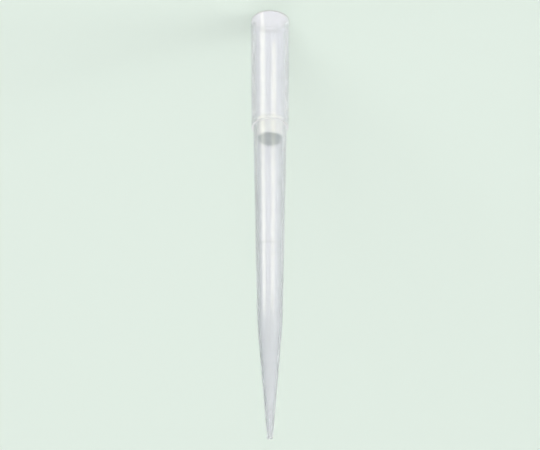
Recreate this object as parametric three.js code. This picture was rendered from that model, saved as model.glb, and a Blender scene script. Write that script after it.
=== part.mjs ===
// A long filter pipette tip for about one millilitre. It stands on the rim of
// its open mouth, narrow end up, because on its side it would roll.
// Millimetres, +Z up. The tip's axis is the Z axis and the origin is the
// middle of its mouth, so a height here is a distance from the mouth.
// It is two pieces: the moulded tip and the porous plug pressed into its bore.

import * as THREE from 'three';

// Heights along the tip.
const tipLength = 102;
const collarLength = 28;
const bendHeight = 76.3;

// Outside diameters.
const mouthDiameter = 8.29;
const collarFootDiameter = 7.82;
const bodyTopDiameter = 7.03;
const bendDiameter = 5.17;
const endDiameter = 1.2;

// Mouth, from the rim inwards: a flared lead-in, a short counterbore, then the
// long bore that grips the pipette's nozzle.
const rimWall = 0.54;
const leadInLength = 1.8;
const counterboreLength = 1.9;
const counterboreWall = 0.78;
const counterboreStepLength = 0.4;
const collarWall = 0.88;

// Filter plug and its seat, which keeps the body's wall up into the collar.
const plugLength = 4.7;
const plugBeyondCollar = 3.1;
const plugEdgeChamfer = 0.2;
const plugGap = 0.05;
const seatWall = 0.77;
const seatLedgeLength = 0.6;

// Chamber that holds the liquid, and the orifice that it ends in.
const bendWall = 0.42;
const orificeDiameter = 0.64;
const orificeLandLength = 1;

// One fine raised ring around the body, the mark at half of its volume.
const markHeight = 58;
const markWidth = 0.24;
const markRise = 0.035;
const markFlank = 0.06;

// Blends of the moulded edges, each the distance from the corner to its end.
const rimRound = 0.16;
const collarFootRound = 0.12;
const shoulderFillet = 0.12;
const bendBlend = 3.2;
const boreBendBlend = 2.6;
const endRound = 0.1;

// Faces around the tip, and steps in each blend.
const facetsAround = 48;
const blendSteps = 4;

// Radius at a height on the cone that runs from one ring of the tip to another.
function coneRadius(height, lower, upper) {
  const share = (height - lower.height) / (upper.height - lower.height);
  return lower.radius + share * (upper.radius - lower.radius);
}

const mouth = { height: 0, radius: mouthDiameter / 2 };
const collarFoot = { height: collarLength, radius: collarFootDiameter / 2 };
const bodyTop = { height: collarLength, radius: bodyTopDiameter / 2 };
const bend = { height: bendHeight, radius: bendDiameter / 2 };
const end = { height: tipLength, radius: endDiameter / 2 };

const collarRadiusAt = (height) => coneRadius(height, mouth, collarFoot);
const bodyRadiusAt = (height) => coneRadius(height, bodyTop, bend);
const endConeRadiusAt = (height) => coneRadius(height, bend, end);

// The plug sits partly in the collar and partly beyond its foot.
const plugInnerFace = collarLength + plugBeyondCollar;
const plugMouthFace = plugInnerFace - plugLength;
const seatRadiusAt = (height) => bodyRadiusAt(height) - seatWall;

// Bore of the chamber, from the plug's inner face to the bend and the orifice.
const chamberStart = { height: plugInnerFace, radius: seatRadiusAt(plugInnerFace) };
const boreBend = { height: bendHeight, radius: bend.radius - bendWall };
const orifice = { height: tipLength - orificeLandLength, radius: orificeDiameter / 2 };
const chamberRadiusAt = (height) => coneRadius(height, chamberStart, boreBend);
const endBoreRadiusAt = (height) => coneRadius(height, boreBend, orifice);

// A profile has the radius across and the tip's axis upwards. A blend runs from
// the last point to the given one, and leans towards the corner it rounds off.
function blendTo(profile, corner, radius, height) {
  profile.quadraticCurveTo(corner.radius, corner.height, radius, height);
}

function drawMark(profile) {
  const lowerEdge = markHeight - markWidth / 2;
  const upperEdge = markHeight + markWidth / 2;
  profile.lineTo(bodyRadiusAt(lowerEdge - markFlank), lowerEdge - markFlank);
  profile.lineTo(bodyRadiusAt(lowerEdge) + markRise, lowerEdge);
  profile.lineTo(bodyRadiusAt(upperEdge) + markRise, upperEdge);
  profile.lineTo(bodyRadiusAt(upperEdge + markFlank), upperEdge + markFlank);
}

// From the rim's outer edge up the outside to the orifice.
function drawOutside(profile) {
  const belowFoot = collarLength - collarFootRound;
  const aboveShoulder = collarLength + shoulderFillet;
  const belowBend = bendHeight - bendBlend;
  const aboveBend = bendHeight + bendBlend;
  const belowEnd = tipLength - endRound;

  profile.lineTo(mouth.radius - rimRound, mouth.height);
  blendTo(profile, mouth, collarRadiusAt(rimRound), rimRound);
  profile.lineTo(collarRadiusAt(belowFoot), belowFoot);
  blendTo(profile, collarFoot, collarFoot.radius - collarFootRound, collarLength);
  profile.lineTo(bodyTop.radius + shoulderFillet, collarLength);
  blendTo(profile, bodyTop, bodyRadiusAt(aboveShoulder), aboveShoulder);
  drawMark(profile);
  profile.lineTo(bodyRadiusAt(belowBend), belowBend);
  blendTo(profile, bend, endConeRadiusAt(aboveBend), aboveBend);
  profile.lineTo(endConeRadiusAt(belowEnd), belowEnd);
  blendTo(profile, end, end.radius - endRound, tipLength);
}

// From the orifice down the bore and back to the rim's inner edge.
function drawBore(profile) {
  const aboveBend = bendHeight + boreBendBlend;
  const belowBend = bendHeight - boreBendBlend;
  const nozzleBoreEnd = plugMouthFace - seatLedgeLength;
  const counterboreEnd = leadInLength + counterboreLength;
  const nozzleBoreStart = counterboreEnd + counterboreStepLength;

  profile.lineTo(orifice.radius, tipLength);
  profile.lineTo(orifice.radius, orifice.height);
  profile.lineTo(endBoreRadiusAt(aboveBend), aboveBend);
  blendTo(profile, boreBend, chamberRadiusAt(belowBend), belowBend);
  profile.lineTo(chamberStart.radius, chamberStart.height);
  profile.lineTo(seatRadiusAt(plugMouthFace), plugMouthFace);
  profile.lineTo(collarRadiusAt(nozzleBoreEnd) - collarWall, nozzleBoreEnd);
  profile.lineTo(collarRadiusAt(nozzleBoreStart) - collarWall, nozzleBoreStart);
  profile.lineTo(collarRadiusAt(counterboreEnd) - counterboreWall, counterboreEnd);
  profile.lineTo(collarRadiusAt(leadInLength) - counterboreWall, leadInLength);
}

// Turns a profile about the tip's axis, which a lathe takes as Y.
function turned(profile) {
  const geometry = new THREE.LatheGeometry(profile.getPoints(blendSteps), facetsAround);
  return geometry.rotateX(Math.PI / 2);
}

// Natural polypropylene, translucent and nearly colourless.
function polypropylene() {
  return new THREE.MeshStandardMaterial({ color: 0xe3e3e6, roughness: 0.25, metalness: 0 });
}

// Sintered polyethylene beads, off-white and matt.
function sinteredPolyethylene() {
  return new THREE.MeshStandardMaterial({ color: 0xf0f0e8, roughness: 0.9, metalness: 0 });
}

function makeTipBody() {
  const profile = new THREE.Path();
  profile.moveTo(mouth.radius - rimWall, mouth.height);
  drawOutside(profile);
  drawBore(profile);
  profile.closePath();

  const body = new THREE.Mesh(turned(profile), polypropylene());
  body.name = 'tip_body';
  return body;
}

function makeFilterPlug() {
  const plugRadiusAt = (height) => seatRadiusAt(height) - plugGap;
  const lowerEdge = plugMouthFace + plugEdgeChamfer;
  const upperEdge = plugInnerFace - plugEdgeChamfer;

  const profile = new THREE.Path();
  profile.moveTo(0, plugMouthFace);
  profile.lineTo(plugRadiusAt(plugMouthFace) - plugEdgeChamfer, plugMouthFace);
  profile.lineTo(plugRadiusAt(lowerEdge), lowerEdge);
  profile.lineTo(plugRadiusAt(upperEdge), upperEdge);
  profile.lineTo(plugRadiusAt(plugInnerFace) - plugEdgeChamfer, plugInnerFace);
  profile.lineTo(0, plugInnerFace);

  const plug = new THREE.Mesh(turned(profile), sinteredPolyethylene());
  plug.name = 'filter_plug';
  return plug;
}

const pipetteTip = new THREE.Group();
pipetteTip.add(makeTipBody(), makeFilterPlug());

export default pipetteTip;
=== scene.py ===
import math

import bmesh
import bpy
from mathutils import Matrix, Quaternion, Vector, noise


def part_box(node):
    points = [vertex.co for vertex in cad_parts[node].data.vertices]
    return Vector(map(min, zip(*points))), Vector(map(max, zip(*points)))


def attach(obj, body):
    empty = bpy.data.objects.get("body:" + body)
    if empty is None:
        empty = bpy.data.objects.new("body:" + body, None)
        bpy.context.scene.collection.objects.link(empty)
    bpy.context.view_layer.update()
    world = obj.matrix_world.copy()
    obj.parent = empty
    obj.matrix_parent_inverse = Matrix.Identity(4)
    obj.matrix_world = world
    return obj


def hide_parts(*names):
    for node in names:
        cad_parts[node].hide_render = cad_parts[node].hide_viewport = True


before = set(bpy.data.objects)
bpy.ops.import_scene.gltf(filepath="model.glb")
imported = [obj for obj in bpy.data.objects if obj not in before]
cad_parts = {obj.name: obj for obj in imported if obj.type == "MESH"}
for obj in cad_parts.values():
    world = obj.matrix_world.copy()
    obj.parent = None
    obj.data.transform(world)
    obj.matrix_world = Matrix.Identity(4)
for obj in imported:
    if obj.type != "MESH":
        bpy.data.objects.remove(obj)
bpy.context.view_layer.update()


# --- Moulded tip -----------------------------------------------------------
# The tip itself is one injection moulding in natural polypropylene, thin-walled
# and hazy: a collar with an open mouth, a flat step at the collar's foot, a long
# tapering body, a steeper end cone and the orifice. It stands on its mouth.
tip_low, tip_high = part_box("tip_body")
tip_length = tip_high.z - tip_low.z
collar_length = 0.0280
bend_height = 0.0763

mouth_radius = 0.004145
collar_foot_radius = 0.003910
body_top_radius = 0.003515
bend_radius = 0.002585
end_radius = 0.0006

rim_wall = 0.00054
lead_in_length = 0.0018
counterbore_length = 0.0019
counterbore_step = 0.0004
counterbore_wall = 0.00078
collar_wall = 0.00088
seat_wall = 0.00077
seat_ledge = 0.0006
bend_wall = 0.00042
orifice_radius = 0.00032
orifice_land = 0.0010

mark_height = 0.0580
mark_width = 0.00024
mark_rise = 0.000035
mark_flank = 0.00006

plug_low, plug_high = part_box("filter_plug")
turns_around = 288


def on_cone(height, lower, upper):
    """Radius at a height on the cone between two rings, each (radius, height)."""
    share = (height - lower[1]) / (upper[1] - lower[1])
    return lower[0] + share * (upper[0] - lower[0])


mouth = (mouth_radius, 0.0)
collar_foot = (collar_foot_radius, collar_length)
body_top = (body_top_radius, collar_length)
bend = (bend_radius, bend_height)
end = (end_radius, tip_length)
seat_top = (on_cone(plug_high.z, body_top, bend) - seat_wall, plug_high.z)
seat_bottom = (on_cone(plug_low.z, body_top, bend) - seat_wall, plug_low.z)
bore_bend = (bend_radius - bend_wall, bend_height)
orifice = (orifice_radius, tip_length - orifice_land)
ledge_foot = plug_low.z - seat_ledge
counterbore_end = lead_in_length + counterbore_length
bore_start = counterbore_end + counterbore_step


def on_collar(height, wall):
    """A ring of the collar's bore, a wall's thickness inside its outer cone."""
    return (on_cone(height, mouth, collar_foot) - wall, height)


def on_body(height, rise=0.0):
    """A ring of the body's outer cone, or one raised off it."""
    return (on_cone(height, body_top, bend) + rise, height)


mark_low = mark_height - mark_width / 2
mark_high = mark_height + mark_width / 2
rim_inner = (mouth_radius - rim_wall, 0.0)
orifice_edge = (orifice_radius, tip_length)
nozzle_bore_rings = [
    seat_bottom,
    on_collar(ledge_foot, collar_wall),
    on_collar(bore_start, collar_wall),
    on_collar(counterbore_end, counterbore_wall),
    on_collar(lead_in_length, counterbore_wall),
]
tip_rings = [
    rim_inner,
    mouth,
    collar_foot,
    body_top,
    on_body(mark_low - mark_flank),
    on_body(mark_low, mark_rise),
    on_body(mark_high, mark_rise),
    on_body(mark_high + mark_flank),
    bend,
    end,
    orifice_edge,
    orifice,
    bore_bend,
    seat_top,
    *nozzle_bore_rings,
]

# Each moulded edge, with how far its rounding reaches and its segments.
rounded_edges = [
    (bend, 0.0032, 10),
    (bore_bend, 0.0026, 10),
    (mouth, 0.00016, 5),
    (rim_inner, 0.00010, 4),
    (collar_foot, 0.00014, 5),
    (body_top, 0.00018, 5),
    (end, 0.00010, 4),
    (orifice_edge, 0.00006, 3),
    (orifice, 0.00030, 4),
    (seat_top, 0.00030, 4),
    *[(ring, 0.00012, 3) for ring in nozzle_bore_rings],
]


def turned(bm, rings, closed, longest=1.0):
    """Turns a line of rings, each (radius, height), about the tip's axis.

    A stretch of the line longer than the longest is cut into equal parts first.
    """
    line = [bm.verts.new((radius, 0.0, height)) for radius, height in rings]
    ends = zip(line, line[1:] + line[:1]) if closed else zip(line, line[1:])
    for edge in [bm.edges.new(pair) for pair in ends]:
        cuts = int(edge.calc_length() / longest)
        if cuts:
            bmesh.ops.subdivide_edges(bm, edges=[edge], cuts=cuts)
    bmesh.ops.spin(
        bm,
        geom=bm.verts[:] + bm.edges[:],
        cent=(0, 0, 0),
        axis=(0, 0, 1),
        dvec=(0, 0, 0),
        angle=math.tau,
        steps=turns_around,
        use_merge=True,
        use_duplicate=False,
    )
    bmesh.ops.remove_doubles(bm, verts=bm.verts[:], dist=1e-7)
    bmesh.ops.recalc_face_normals(bm, faces=bm.faces[:])


def ring_edges(bm, ring):
    """The edges that run round the axis at a ring."""
    radius, height = ring
    height_margin, radius_margin = 2e-6, 4e-6

    def on_ring(v):
        return (
            abs(v.co.z - height) < height_margin
            and abs(math.hypot(v.co.x, v.co.y) - radius) < radius_margin
        )

    return [e for e in bm.edges if on_ring(e.verts[0]) and on_ring(e.verts[1])]


def round_ring(bm, ring, size, segments):
    """Rounds the corner at a ring, as the mould's edge is rounded."""
    bmesh.ops.bevel(
        bm,
        geom=ring_edges(bm, ring),
        offset=size,
        offset_type="OFFSET",
        segments=segments,
        profile=0.5,
        affect="EDGES",
        clamp_overlap=True,
        material=-1,
    )


tip_bm = bmesh.new()
turned(tip_bm, tip_rings, closed=True)
for edge_ring, reach, segments in rounded_edges:
    round_ring(tip_bm, edge_ring, reach, segments)


def finished(bm, name):
    """A named object from a bmesh, smooth shaded, in the scene."""
    mesh = bpy.data.meshes.new(name)
    bm.to_mesh(mesh)
    bm.free()
    mesh.polygons.foreach_set("use_smooth", [True] * len(mesh.polygons))
    piece = bpy.data.objects.new(name, mesh)
    bpy.context.scene.collection.objects.link(piece)
    return piece


tip = finished(tip_bm, "moulded_tip")
even = tip.modifiers.new("even_shading", "WEIGHTED_NORMAL")
even.weight = 90
even.keep_sharp = True


def new_material(name):
    """A node material with its Principled shader and its node tree."""
    material = bpy.data.materials.new(name)
    material.use_nodes = True
    tree = material.node_tree
    return material, tree, tree.nodes["Principled BSDF"]


def new_node(tree, kind, inputs=None, **settings):
    """A node of a kind, with its own settings and values on its inputs."""
    node = tree.nodes.new("ShaderNode" + kind)
    for setting, value in settings.items():
        setattr(node, setting, value)
    for socket, value in (inputs or {}).items():
        node.inputs[socket].default_value = value
    return node


def link_all(tree, *links):
    """Links each output to the input beside it."""
    for output, into in links:
        tree.links.new(output, into)


polypropylene, pp_tree, pp_shader = new_material("natural_polypropylene")
pp_output = pp_tree.nodes["Material Output"]
pp_shader.inputs["Transmission Weight"].default_value = 0.92
pp_shader.inputs["IOR"].default_value = 1.49

# The gloss varies in fine lines along the tip, as the mould's core was polished.
pp_place = new_node(pp_tree, "TexCoord")
along_core = new_node(pp_tree, "Mapping", {"Scale": (1600, 1600, 45)})
polish = new_node(pp_tree, "TexNoise", {"Scale": 1.0, "Detail": 3.0})
gloss = new_node(
    pp_tree,
    "MapRange",
    {"From Min": 0.3, "From Max": 0.7, "To Min": 0.13, "To Max": 0.21},
)

# The milkiness and the waviness vary in soft clouds, as the melt flowed.
along_flow = new_node(pp_tree, "Mapping", {"Scale": (260, 260, 90)})
cloud = new_node(pp_tree, "TexNoise", {"Scale": 1.0, "Detail": 2.0})
milk = new_node(
    pp_tree,
    "Mix",
    {"A": (0.924, 0.924, 0.958, 1), "B": (0.956, 0.954, 0.980, 1)},
    data_type="RGBA",
)
waviness = new_node(pp_tree, "Bump", {"Strength": 0.06, "Distance": 0.00002})

# The raised mark is a little duller, and is painted a little darker as painted shade
# along the ring.
along_axis = new_node(pp_tree, "SeparateXYZ")
on_mark = new_node(
    pp_tree,
    "Math",
    {1: mark_height, 2: mark_width / 2 + mark_flank},
    operation="COMPARE",
)
matt = new_node(pp_tree, "Math", {1: 0.06}, operation="MULTIPLY_ADD")
mark_painted_shade = new_node(pp_tree, "Mix", {"B": (0.82, 0.82, 0.83, 1)}, data_type="RGBA")

# The haze is scattering inside the wall.
haze = new_node(
    pp_tree,
    "VolumeScatter",
    {"Color": (0.985, 0.98, 1.0, 1), "Density": 240, "Anisotropy": 0.4},
)
link_all(
    pp_tree,
    (pp_place.outputs["Object"], along_core.inputs["Vector"]),
    (along_core.outputs["Vector"], polish.inputs["Vector"]),
    (polish.outputs["Fac"], gloss.inputs["Value"]),
    (pp_place.outputs["Object"], along_flow.inputs["Vector"]),
    (along_flow.outputs["Vector"], cloud.inputs["Vector"]),
    (cloud.outputs["Fac"], milk.inputs["Factor"]),
    (cloud.outputs["Fac"], waviness.inputs["Height"]),
    (pp_place.outputs["Object"], along_axis.inputs["Vector"]),
    (along_axis.outputs["Z"], on_mark.inputs[0]),
    (on_mark.outputs[0], matt.inputs[0]),
    (gloss.outputs["Result"], matt.inputs[2]),
    (on_mark.outputs[0], mark_painted_shade.inputs["Factor"]),
    (milk.outputs["Result"], mark_painted_shade.inputs["A"]),
    (matt.outputs[0], pp_shader.inputs["Roughness"]),
    (mark_painted_shade.outputs["Result"], pp_shader.inputs["Base Color"]),
    (waviness.outputs["Normal"], pp_shader.inputs["Normal"]),
    (haze.outputs["Volume"], pp_output.inputs["Volume"]),
)
tip.data.materials.append(polypropylene)

# The flat step at the collar's foot is opaque matt grey with a fine random grain. This
# is painted light, toned so that the step shows about as bright as the wall beside it
# instead of as a dark line.
step_paint, step_paint_tree, step_paint_shader = new_material("step_painted_light")
step_paint_shader.inputs["Roughness"].default_value = 0.6
step_paint_place = new_node(step_paint_tree, "TexCoord")
step_paint_grain = new_node(step_paint_tree, "TexNoise", {"Scale": 9000})
step_painted_tone = new_node(
    step_paint_tree,
    "Mix",
    {"A": (0.74, 0.74, 0.73, 1), "B": (0.80, 0.80, 0.79, 1)},
    data_type="RGBA",
)
link_all(
    step_paint_tree,
    (step_paint_place.outputs["Object"], step_paint_grain.inputs["Vector"]),
    (step_paint_grain.outputs["Fac"], step_painted_tone.inputs["Factor"]),
    (step_painted_tone.outputs["Result"], step_paint_shader.inputs["Base Color"]),
)
tip.data.materials.append(step_paint)
step_paint_slot = 1
for face in tip.data.polygons:
    level_with_step = abs(face.center.z - collar_length) < 0.00001
    if level_with_step and face.normal.z > 0.9:
        face.material_index = step_paint_slot

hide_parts("tip_body")
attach(tip, "root")


# --- Filter plug -----------------------------------------------------------
# A short porous cylinder of polyethylene beads, sintered together in a mould
# and pressed into the bore at the collar's foot. It stops spray and liquid.
plug_clearance = 0.00003
plug_chamfer = 0.0002
chamfer_inset = 0.00022
plug_rings = [
    (0.0, plug_low.z),
    (seat_bottom[0] - chamfer_inset, plug_low.z),
    (seat_bottom[0] - plug_clearance, plug_low.z + plug_chamfer),
    (seat_top[0] - plug_clearance, plug_high.z - plug_chamfer),
    (seat_top[0] - chamfer_inset, plug_high.z),
    (0.0, plug_high.z),
]
bead_size = 0.00028
pore_depth = 0.00003
pore_spacing = 0.00009
plug_bm = bmesh.new()
turned(plug_bm, plug_rings, closed=False, longest=pore_spacing)
plug_bm.normal_update()


def pore(place):
    """How deep a spot of the surface lies between its beads, from 0 to 1."""
    pore_width = 0.22
    nearest, second = noise.voronoi(place / bead_size)[0][:2]
    return max(0.0, 1 - (second - nearest) / pore_width) ** 2


sunk = [(v, v.normal * (-pore_depth * pore(v.co))) for v in plug_bm.verts]
for v, sink in sunk:
    v.co += sink
plug = finished(plug_bm, "sintered_plug")

# Its face towards the narrow end is painted dark as painted shade. The gaps between the
# beads are painted darker as painted shade, so each bead is lighter on its crown, and
# the same bead pattern gives the bump.
sintered, sintered_tree, sintered_shader = new_material("sintered_polyethylene")
sintered_shader.inputs["Roughness"].default_value = 0.9
plug_place = new_node(sintered_tree, "TexCoord")
along_plug = new_node(sintered_tree, "SeparateXYZ")
painted_shade_face = new_node(
    sintered_tree,
    "MapRange",
    {"From Min": plug_high.z - 0.00016, "From Max": plug_high.z - 0.00006},
)
cream_and_painted_shade = new_node(
    sintered_tree,
    "Mix",
    {"A": (0.96, 0.955, 0.885, 1), "B": (0.275, 0.34, 0.32, 1)},
    data_type="RGBA",
)
beads = new_node(
    sintered_tree, "TexVoronoi", {"Scale": 1 / bead_size}, feature="DISTANCE_TO_EDGE"
)
bead_height_and_pore_shade = new_node(sintered_tree, "MapRange", {"From Max": 0.25, "To Min": 0.82})
pore_painted_shade = new_node(
    sintered_tree, "Mix", {"Factor": 1.0}, data_type="RGBA", blend_type="MULTIPLY"
)
bead_bump = new_node(
    sintered_tree, "Bump", {"Strength": 0.6, "Distance": pore_depth}
)
link_all(
    sintered_tree,
    (plug_place.outputs["Object"], along_plug.inputs["Vector"]),
    (plug_place.outputs["Object"], beads.inputs["Vector"]),
    (along_plug.outputs["Z"], painted_shade_face.inputs["Value"]),
    (painted_shade_face.outputs["Result"], cream_and_painted_shade.inputs["Factor"]),
    (beads.outputs["Distance"], bead_height_and_pore_shade.inputs["Value"]),
    (cream_and_painted_shade.outputs["Result"], pore_painted_shade.inputs["A"]),
    (bead_height_and_pore_shade.outputs["Result"], pore_painted_shade.inputs["B"]),
    (bead_height_and_pore_shade.outputs["Result"], bead_bump.inputs["Height"]),
    (pore_painted_shade.outputs["Result"], sintered_shader.inputs["Base Color"]),
    (bead_bump.outputs["Normal"], sintered_shader.inputs["Normal"]),
)
plug.data.materials.append(sintered)

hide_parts("filter_plug")
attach(plug, "root")


# --- Floor -----------------------------------------------------------------
# A plain pale sheet that the tip stands on, far wider than the tip. Beyond the
# tip's shadow it turns into one even tone, which is also the world's.
floor_radius = 3.0
shadow_reach, even_from = 0.22, 0.60
backdrop_tone = (0.767, 0.855, 0.791, 1)
floor_bm = bmesh.new()
bmesh.ops.create_circle(floor_bm, cap_ends=True, segments=96, radius=floor_radius)
floor = finished(floor_bm, "floor")
paper, paper_tree, paper_shader = new_material("pale_paper")
paper_output = paper_tree.nodes["Material Output"]
paper_shader.inputs["Base Color"].default_value = (0.60, 0.682, 0.606, 1)
paper_shader.inputs["Roughness"].default_value = 0.9
paper_shader.inputs["Specular IOR Level"].default_value = 0.0
paper_shader.inputs["Emission Color"].default_value = (0.96, 1.0, 0.97, 1)
paper_shader.inputs["Emission Strength"].default_value = 0.14
paper_place = new_node(paper_tree, "TexCoord")
away = new_node(paper_tree, "VectorMath", operation="LENGTH")
fade = new_node(
    paper_tree,
    "MapRange",
    {"From Min": shadow_reach, "From Max": even_from},
    interpolation_type="SMOOTHSTEP",
)
even_tone = new_node(paper_tree, "Emission", {"Color": backdrop_tone})
sheet = new_node(paper_tree, "MixShader")
link_all(
    paper_tree,
    (paper_place.outputs["Object"], away.inputs[0]),
    (away.outputs["Value"], fade.inputs["Value"]),
    (fade.outputs["Result"], sheet.inputs["Fac"]),
    (paper_shader.outputs["BSDF"], sheet.inputs[1]),
    (even_tone.outputs["Emission"], sheet.inputs[2]),
    (sheet.outputs["Shader"], paper_output.inputs["Surface"]),
)
floor.data.materials.append(paper)


# --- Light -----------------------------------------------------------------
# One wide lamp stands low in front. Flat cards on the floor make the highlights
# and the soft bands in the tip, and the world gives the rest of the light.
lamp_azimuth, lamp_elevation = 15, 8
lamp_distance = 1.2


def facing(azimuth, elevation):
    """The direction from the tip to an azimuth and an elevation. Azimuth 0 is -Y."""
    a, e = math.radians(azimuth), math.radians(elevation)
    return Vector((math.sin(a) * math.cos(e), -math.cos(a) * math.cos(e), math.sin(e)))


to_lamp = facing(lamp_azimuth, lamp_elevation)
lamp_light = bpy.data.lights.new("front_lamp", "AREA")
lamp_light.shape = "RECTANGLE"
lamp_light.size, lamp_light.size_y = 1.2, 0.5
lamp_light.energy = 4
lamp = bpy.data.objects.new("front_lamp", lamp_light)
lamp.location = Vector((0, 0, tip_length / 2)) + to_lamp * lamp_distance
lamp.rotation_mode = "QUATERNION"
lamp.rotation_quaternion = (-to_lamp).to_track_quat("-Z", "Y")
lamp.visible_camera = False
lamp.visible_transmission = False
lamp.visible_glossy = False
bpy.context.scene.collection.objects.link(lamp)


def sector_mesh(azimuths, radii, lift, off_axis):
    """A flat sector between two azimuths and two radii, lifted off the floor.

    Its point lies off the tip's axis, towards half its middle azimuth.
    """
    aside = math.radians(sum(azimuths) / 4 - 90)
    point = Vector((math.cos(aside), math.sin(aside), 0)) * off_axis
    start, stop = (math.radians(azimuth - 90) for azimuth in azimuths)
    bm = bmesh.new()
    near, far = (bm.verts.new((radius, 0, lift)) for radius in radii)
    side = bm.edges.new((near, far))
    bmesh.ops.rotate(
        bm,
        verts=[near, far],
        cent=(0, 0, 0),
        matrix=Quaternion((0, 0, 1), start).to_matrix(),
    )
    bmesh.ops.spin(
        bm,
        geom=[near, far, side],
        cent=(0, 0, 0),
        axis=(0, 0, 1),
        dvec=(0, 0, 0),
        angle=stop - start,
        steps=12,
        use_merge=False,
        use_duplicate=False,
    )
    bmesh.ops.translate(bm, verts=bm.verts[:], vec=point)
    return bm


def card_material(name, colour, strength, seen_after):
    """An even glow that shows only after one bounce or more of the given kind."""
    material, tree, shader = new_material(name)
    tree.nodes.remove(shader)
    lit = new_node(tree, "Emission", {"Color": colour, "Strength": strength})
    clear = new_node(tree, "BsdfTransparent")
    bounces = new_node(tree, "LightPath")
    counted = new_node(tree, "Math", {1: 0.5}, operation="GREATER_THAN")
    shown = new_node(tree, "MixShader")
    link_all(
        tree,
        (bounces.outputs[seen_after], counted.inputs[0]),
        (counted.outputs[0], shown.inputs["Fac"]),
        (clear.outputs["BSDF"], shown.inputs[1]),
        (lit.outputs["Emission"], shown.inputs[2]),
        (shown.outputs["Shader"], tree.nodes["Material Output"].inputs["Surface"]),
    )
    material.cycles.emission_sampling = "NONE"
    return material


def card(name, azimuths, radii, colour, strength, seen_after, lift=0.0001, off_axis=0.0):
    """A glowing sector on the floor, from one azimuth and radius to the other.

    It lights nothing, and neither the camera nor the floor sees it.
    """
    sector = finished(sector_mesh(azimuths, radii, lift, off_axis), name)
    sector.data.materials.append(card_material(name, colour, strength, seen_after))
    sector.visible_camera = False
    sector.visible_diffuse = False
    sector.visible_shadow = False
    sector.visible_volume_scatter = False
    return sector


# The gloss shows two long highlights: one in three lengths, and a second beside it.
gloss_bounce = "Glossy Depth"
warm, pale_warm = (1, 0.99, 0.80, 1), (1, 0.98, 0.70, 1)
for name, azimuths, radii, colour, strength, lift, off_axis in (
    ("near_glow_card", (29, 51), (0.0022, 0.009), warm, 3.3, 0.0001, 0.002),
    ("glow_card", (29, 60), (0.009, 0.043), warm, 4.7, 0.0001, 0.002),
    ("far_glow_card", (37, 68), (0.043, 0.150), warm, 4.2, 0.0001, 0.0015),
    ("second_glow_card", (-38, -8), (0.013, 0.148), pale_warm, 3.0, 0.0003, 0.002),
):
    card(name, azimuths, radii, colour, strength, gloss_bounce, lift, off_axis)

# The walls show a pale middle band between greyer bands at both sides, which are
# darker far from the tip. All of these cards lie on its +Y side.
wall_passage = "Transmission Depth"
side_grey, far_grey = (0.9, 1, 0.97, 1), (0.95, 1, 0.98, 1)
near_white, middle_white = (0.97, 1, 1, 1), (0.98, 1, 1, 1)
for name, azimuths, radii, colour, strength in (
    ("left_card", (120, 168), (0.045, 0.30), side_grey, 0.46),
    ("right_card", (196, 240), (0.045, 0.30), side_grey, 0.52),
    ("left_far_card", (70, 120), (0.118, 0.30), far_grey, 0.50),
    ("right_far_card", (240, 290), (0.118, 0.30), far_grey, 0.55),
    ("middle_card", (168, 196), (0.118, 0.30), far_grey, 0.62),
    ("middle_near_card", (168, 192), (0.010, 0.118), middle_white, 0.87),
    ("middle_nearest_card", (168, 192), (0.0046, 0.010), middle_white, 0.95),
    ("left_near_card", (115, 168), (0.005, 0.045), near_white, 0.80),
    ("right_near_card", (192, 245), (0.005, 0.045), near_white, 0.85),
):
    card(name, azimuths, radii, colour, strength, wall_passage)

# Under the mouth lie a dim brown glowing ring, seen through the rim as a painted line of
# shade where it meets the floor, and a pale glowing disc, painted light seen through the
# walls, which also lights the haze.
all_round = (0, 360)
rim_painted_shade, mouth_white = (0.8, 0.62, 0.58, 1), (0.98, 0.98, 1, 1)
card("rim_painted_shade_card", all_round, (0.0037, 0.0046), rim_painted_shade, 0.3, wall_passage, 0.00001)
mouth_card = card(
    "mouth_card", all_round, (0.0001, 0.0037), mouth_white, 0.87, wall_passage, 0.00002
)
mouth_card.visible_volume_scatter = True
mouth_card.visible_diffuse = True

world = bpy.data.worlds.new("studio")
world.use_nodes = True
room = world.node_tree
sky = room.nodes["Background"]
sky.inputs["Color"].default_value = (0.98, 0.99, 1.0, 1)
towards = new_node(room, "TexCoord")
parts = new_node(room, "SeparateXYZ")
link_all(room, (towards.outputs["Generated"], parts.inputs["Vector"]))


def tone(value, start, stop, first, last):
    """A smooth change of the light, from its first strength to its last."""
    change = new_node(
        room,
        "MapRange",
        {"From Min": start, "From Max": stop, "To Min": first, "To Max": last},
        interpolation_type="SMOOTHSTEP",
    )
    link_all(room, (value, change.inputs["Value"]))
    return change.outputs["Result"]


def combined(operation, first, second):
    """Two values multiplied, added or subtracted."""
    step = new_node(room, "Math", operation=operation)
    link_all(room, (first, step.inputs[0]), (second, step.inputs[1]))
    return step.outputs[0]


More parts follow.
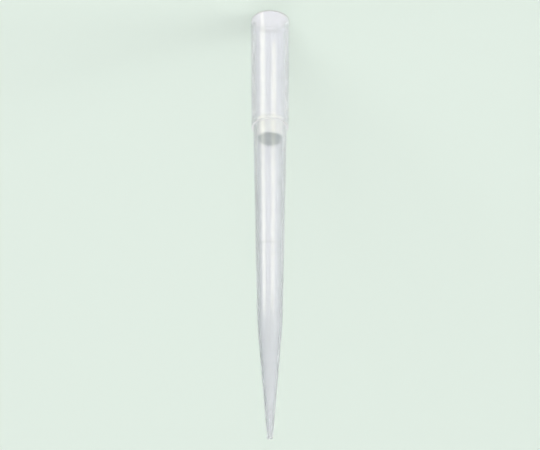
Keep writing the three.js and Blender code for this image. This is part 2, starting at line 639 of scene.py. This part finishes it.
# The sky is bright at the horizon, dim overhead and dimmer towards +X. Soft boxes
# add to it, each an azimuth, an elevation and a strength. The last takes light away.
sky_strength = combined(
    "MULTIPLY",
    tone(parts.outputs["Z"], 0.10, 0.90, 2.3, 0.36),
    tone(parts.outputs["X"], 0.0, 0.9, 1.0, 0.5),
)
box_edge, box_core = 0.90, 0.97
for azimuth, elevation, extra in (
    (15, 8, 5.5),
    (95, 8, 1.0),
    (-75, 8, 5.5),
    (180, 8, 3.2),
    (-148, 34, -0.95),
):
    alignment = new_node(
        room, "VectorMath", {1: facing(azimuth, elevation)}, operation="DOT_PRODUCT"
    )
    link_all(room, (towards.outputs["Generated"], alignment.inputs[0]))
    box = tone(alignment.outputs["Value"], box_edge, box_core, 0.0, extra)
    sky_strength = combined("ADD", sky_strength, box)

# Only what has been scattered sees that sky. All else sees the backdrop's tone.
bounces = new_node(room, "LightPath")
scatterings = combined(
    "SUBTRACT", bounces.outputs["Ray Depth"], bounces.outputs["Transmission Depth"]
)
scatterings = combined("SUBTRACT", scatterings, bounces.outputs["Glossy Depth"])
scattered = new_node(room, "Math", {1: 1.5}, operation="GREATER_THAN")
plain = new_node(room, "Background", {"Color": backdrop_tone})
backdrop = new_node(room, "MixShader")
link_all(
    room,
    (sky_strength, sky.inputs["Strength"]),
    (scatterings, scattered.inputs[0]),
    (scattered.outputs[0], backdrop.inputs["Fac"]),
    (plain.outputs["Background"], backdrop.inputs[1]),
    (sky.outputs["Background"], backdrop.inputs[2]),
    (backdrop.outputs["Shader"], room.nodes["World Output"].inputs["Surface"]),
)
world.cycles.sampling_method = "NONE"
bpy.context.scene.world = world


# --- Camera ----------------------------------------------------------------
# It looks down on the standing tip and is turned over, so that the mouth is up.
view_distance = 0.55
view_lean = math.radians(32)
aim_height = 0.05233
turned_over = Quaternion((0, 0, 1), math.pi)
aim = Vector((0, 0, aim_height))
line_of_sight = Vector((0, math.cos(view_lean), -math.sin(view_lean)))
camera_data = bpy.data.cameras.new("camera")
camera_data.sensor_width = 36
camera_data.lens = 176.6
camera = bpy.data.objects.new("camera", camera_data)
camera.location = aim - line_of_sight * view_distance
camera.rotation_mode = "QUATERNION"
camera.rotation_quaternion = line_of_sight.to_track_quat("-Z", "Y") @ turned_over
bpy.context.scene.collection.objects.link(camera)
bpy.context.scene.camera = camera
bpy.context.scene.view_settings.view_transform = "Standard"
cycles = bpy.context.scene.cycles
cycles.max_bounces = 64
cycles.glossy_bounces = 48
cycles.transmission_bounces = 48
cycles.volume_bounces = 16
cycles.transparent_max_bounces = 16
